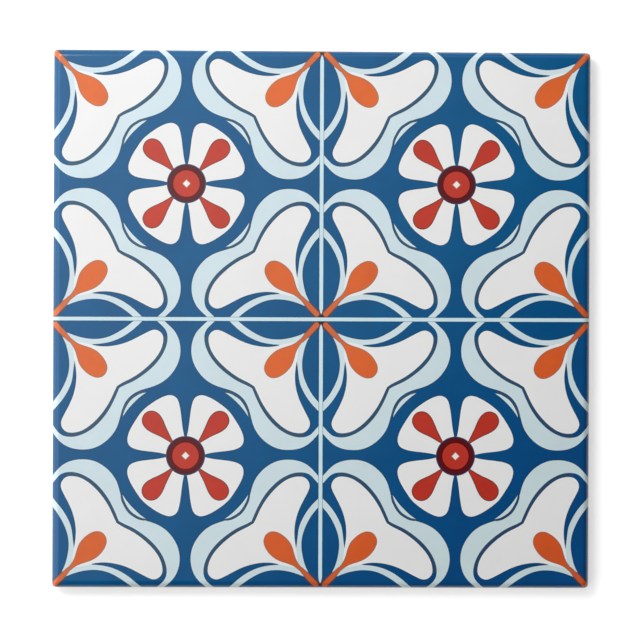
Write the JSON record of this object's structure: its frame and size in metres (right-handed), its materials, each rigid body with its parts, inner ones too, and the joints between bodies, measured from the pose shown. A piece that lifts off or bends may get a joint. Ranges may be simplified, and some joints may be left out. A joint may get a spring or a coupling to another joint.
{
  "type": "azulejo tile",
  "caption": "Square glazed wall tile with a rolled glossy edge, a blue, white, red and orange geometric floral ornament and a keyed unglazed back.",
  "frame": {"origin": "middle of the bedding plane on which the rim and ribs of the back stand", "axes": "+Z out of the glazed face, +X and +Y along the sides; +Y is up in the picture"},
  "size_m": [0.15, 0.15, 0.006],
  "materials": {
    "fired_tile": "glossy glaze over painted ornament; bare fired clay on the back and lower sides"
  },
  "bodies": {
    "root": {"tile": "fired_tile"}
  },
  "joints": []
}
